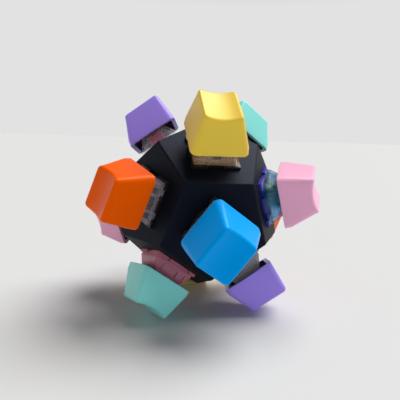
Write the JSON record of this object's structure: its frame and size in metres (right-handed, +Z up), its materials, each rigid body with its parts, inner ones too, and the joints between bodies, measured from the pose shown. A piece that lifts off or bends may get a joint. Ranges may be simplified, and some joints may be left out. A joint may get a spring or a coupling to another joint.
{
  "type": "dodecahedron key-switch fidget",
  "caption": "Hollow printed dodecahedron desk fidget with a sprung push key, switch and blank sculpted keycap on every face, resting on three keycap corners.",
  "frame": {"origin": "on the surface that the object stands on, straight below the middle of the dodecahedron", "axes": "+Z up, out of the corner between the yellow, mint and purple top faces; -Y to the front, square to the yellow top key's lean; +X to the right"},
  "size_m": [0.0793, 0.083, 0.0744],
  "materials": {
    "printed_shell": "matte layered print, blue-black",
    "contact_metal": "bright stamped strip",
    "spring_steel": "bright drawn wire",
    "black_nylon": "satin moulded nylon",
    "violet_nylon": "satin moulded nylon",
    "red_nylon": "satin moulded nylon",
    "rose_nylon": "satin moulded nylon",
    "smoky_amber_cover": "translucent moulded polycarbonate",
    "clear_cover": "translucent moulded polycarbonate",
    "smoky_pink_cover": "translucent moulded polycarbonate",
    "ice_blue_cover": "translucent moulded polycarbonate",
    "red_cover": "translucent moulded polycarbonate",
    "smoke_cover": "translucent moulded polycarbonate",
    "brown_acetal": "smooth moulded acetal",
    "red_acetal": "smooth moulded acetal",
    "magenta_acetal": "smooth moulded acetal",
    "grey_acetal": "smooth moulded acetal",
    "teal_acetal": "smooth moulded acetal",
    "blue_acetal": "smooth moulded acetal",
    "green_acetal": "smooth moulded acetal",
    "gold_acetal": "smooth moulded acetal",
    "cream_acetal": "smooth moulded acetal",
    "rose_acetal": "smooth moulded acetal",
    "slate_acetal": "smooth moulded acetal",
    "black_acetal": "smooth moulded acetal",
    "yellow_keycap": "fine-textured moulded plastic",
    "mint_keycap": "fine-textured moulded plastic",
    "purple_keycap": "fine-textured moulded plastic",
    "orange_keycap": "fine-textured moulded plastic",
    "pink_keycap": "fine-textured moulded plastic",
    "blue_keycap": "fine-textured moulded plastic"
  },
  "bodies": {
    "body": {"body_shell": "printed_shell", "bottom_housing_black": "black_nylon", "bottom_housing_clear": "clear_cover", "bottom_housing_violet": "violet_nylon", "bottom_housing_red": "red_nylon", "bottom_housing_rose": "rose_nylon", "bottom_housing_smoke": "smoke_cover", "moving_contacts": "contact_metal", "fixed_contacts": "contact_metal", "cover_yellow_top": "smoky_amber_cover", "cover_mint_top": "clear_cover", "cover_purple_top": "clear_cover", "cover_orange_left": "smoky_pink_cover", "cover_pink_right": "ice_blue_cover", "cover_blue_back": "clear_cover", "cover_blue_front": "clear_cover", "cover_orange_right": "clear_cover", "cover_pink_left": "red_cover", "cover_mint_bottom": "rose_nylon", "cover_purple_bottom": "smoke_cover", "cover_yellow_bottom": "clear_cover", "spring_yellow_top": "spring_steel", "spring_mint_top": "spring_steel", "spring_purple_top": "spring_steel", "spring_orange_left": "spring_steel", "spring_pink_right": "spring_steel", "spring_blue_back": "spring_steel", "spring_blue_front": "spring_steel", "spring_orange_right": "spring_steel", "spring_pink_left": "spring_steel", "spring_mint_bottom": "spring_steel", "spring_purple_bottom": "spring_steel", "spring_yellow_bottom": "spring_steel"},
    "key_yellow_top": {"slider_yellow_top": "brown_acetal", "keycap_yellow_top": "yellow_keycap"},
    "key_mint_top": {"slider_mint_top": "red_acetal", "keycap_mint_top": "mint_keycap"},
    "key_purple_top": {"slider_purple_top": "magenta_acetal", "keycap_purple_top": "purple_keycap"},
    "key_orange_left": {"slider_orange_left": "grey_acetal", "keycap_orange_left": "orange_keycap"},
    "key_pink_right": {"slider_pink_right": "teal_acetal", "keycap_pink_right": "pink_keycap"},
    "key_blue_back": {"slider_blue_back": "blue_acetal", "keycap_blue_back": "blue_keycap"},
    "key_blue_front": {"slider_blue_front": "green_acetal", "keycap_blue_front": "blue_keycap"},
    "key_orange_right": {"slider_orange_right": "gold_acetal", "keycap_orange_right": "orange_keycap"},
    "key_pink_left": {"slider_pink_left": "cream_acetal", "keycap_pink_left": "pink_keycap"},
    "key_mint_bottom": {"slider_mint_bottom": "rose_acetal", "keycap_mint_bottom": "mint_keycap"},
    "key_purple_bottom": {"slider_purple_bottom": "slate_acetal", "keycap_purple_bottom": "purple_keycap"},
    "key_yellow_bottom": {"slider_yellow_bottom": "black_acetal", "keycap_yellow_bottom": "yellow_keycap"}
  },
  "joints": [
    {"name": "press_yellow_top", "type": "slide", "parent": "body", "child": "key_yellow_top", "axis": [0.0054, -0.5984, 0.8012], "range_m": [-0.004, 0], "stiffness_N_per_m": 62, "springref_m": 0.0048, "deforming": ["spring_yellow_top"]},
    {"name": "press_mint_top", "type": "slide", "parent": "body", "child": "key_mint_top", "axis": [0.5311, 0.3121, 0.7877], "range_m": [-0.004, 0], "stiffness_N_per_m": 62, "springref_m": 0.0048, "deforming": ["spring_mint_top"]},
    {"name": "press_purple_top", "type": "slide", "parent": "body", "child": "key_purple_top", "axis": [-0.5203, 0.3122, 0.7949], "range_m": [-0.004, 0], "stiffness_N_per_m": 62, "springref_m": 0.0048, "deforming": ["spring_purple_top"]},
    {"name": "press_orange_left", "type": "slide", "parent": "body", "child": "key_orange_left", "axis": [-0.8493, -0.489, 0.1987], "range_m": [-0.004, 0], "stiffness_N_per_m": 62, "springref_m": 0.0048, "deforming": ["spring_orange_left"]},
    {"name": "press_pink_right", "type": "slide", "parent": "body", "child": "key_pink_right", "axis": [0.8519, -0.4891, 0.1871], "range_m": [-0.004, 0], "stiffness_N_per_m": 62, "springref_m": 0.0048, "deforming": ["spring_pink_right"]},
    {"name": "press_blue_back", "type": "slide", "parent": "body", "child": "key_blue_back", "axis": [0.0012, 0.9842, 0.1769], "range_m": [-0.004, 0], "stiffness_N_per_m": 62, "springref_m": 0.0048, "deforming": ["spring_blue_back"]},
    {"name": "press_blue_front", "type": "slide", "parent": "body", "child": "key_blue_front", "axis": [-0.0012, -0.9842, -0.1769], "range_m": [-0.004, 0], "stiffness_N_per_m": 62, "springref_m": 0.0048, "deforming": ["spring_blue_front"]},
    {"name": "press_orange_right", "type": "slide", "parent": "body", "child": "key_orange_right", "axis": [0.8493, 0.489, -0.1987], "range_m": [-0.004, 0], "stiffness_N_per_m": 62, "springref_m": 0.0048, "deforming": ["spring_orange_right"]},
    {"name": "press_pink_left", "type": "slide", "parent": "body", "child": "key_pink_left", "axis": [-0.8519, 0.4891, -0.1871], "range_m": [-0.004, 0], "stiffness_N_per_m": 62, "springref_m": 0.0048, "deforming": ["spring_pink_left"]},
    {"name": "press_mint_bottom", "type": "slide", "parent": "body", "child": "key_mint_bottom", "axis": [-0.5311, -0.3121, -0.7877], "range_m": [-0.004, 0], "stiffness_N_per_m": 62, "springref_m": 0.0048, "deforming": ["spring_mint_bottom"]},
    {"name": "press_purple_bottom", "type": "slide", "parent": "body", "child": "key_purple_bottom", "axis": [0.5203, -0.3122, -0.7949], "range_m": [-0.004, 0], "stiffness_N_per_m": 62, "springref_m": 0.0048, "deforming": ["spring_purple_bottom"]},
    {"name": "press_yellow_bottom", "type": "slide", "parent": "body", "child": "key_yellow_bottom", "axis": [-0.0054, 0.5984, -0.8012], "range_m": [-0.004, 0], "stiffness_N_per_m": 62, "springref_m": 0.0048, "deforming": ["spring_yellow_bottom"]}
  ]
}
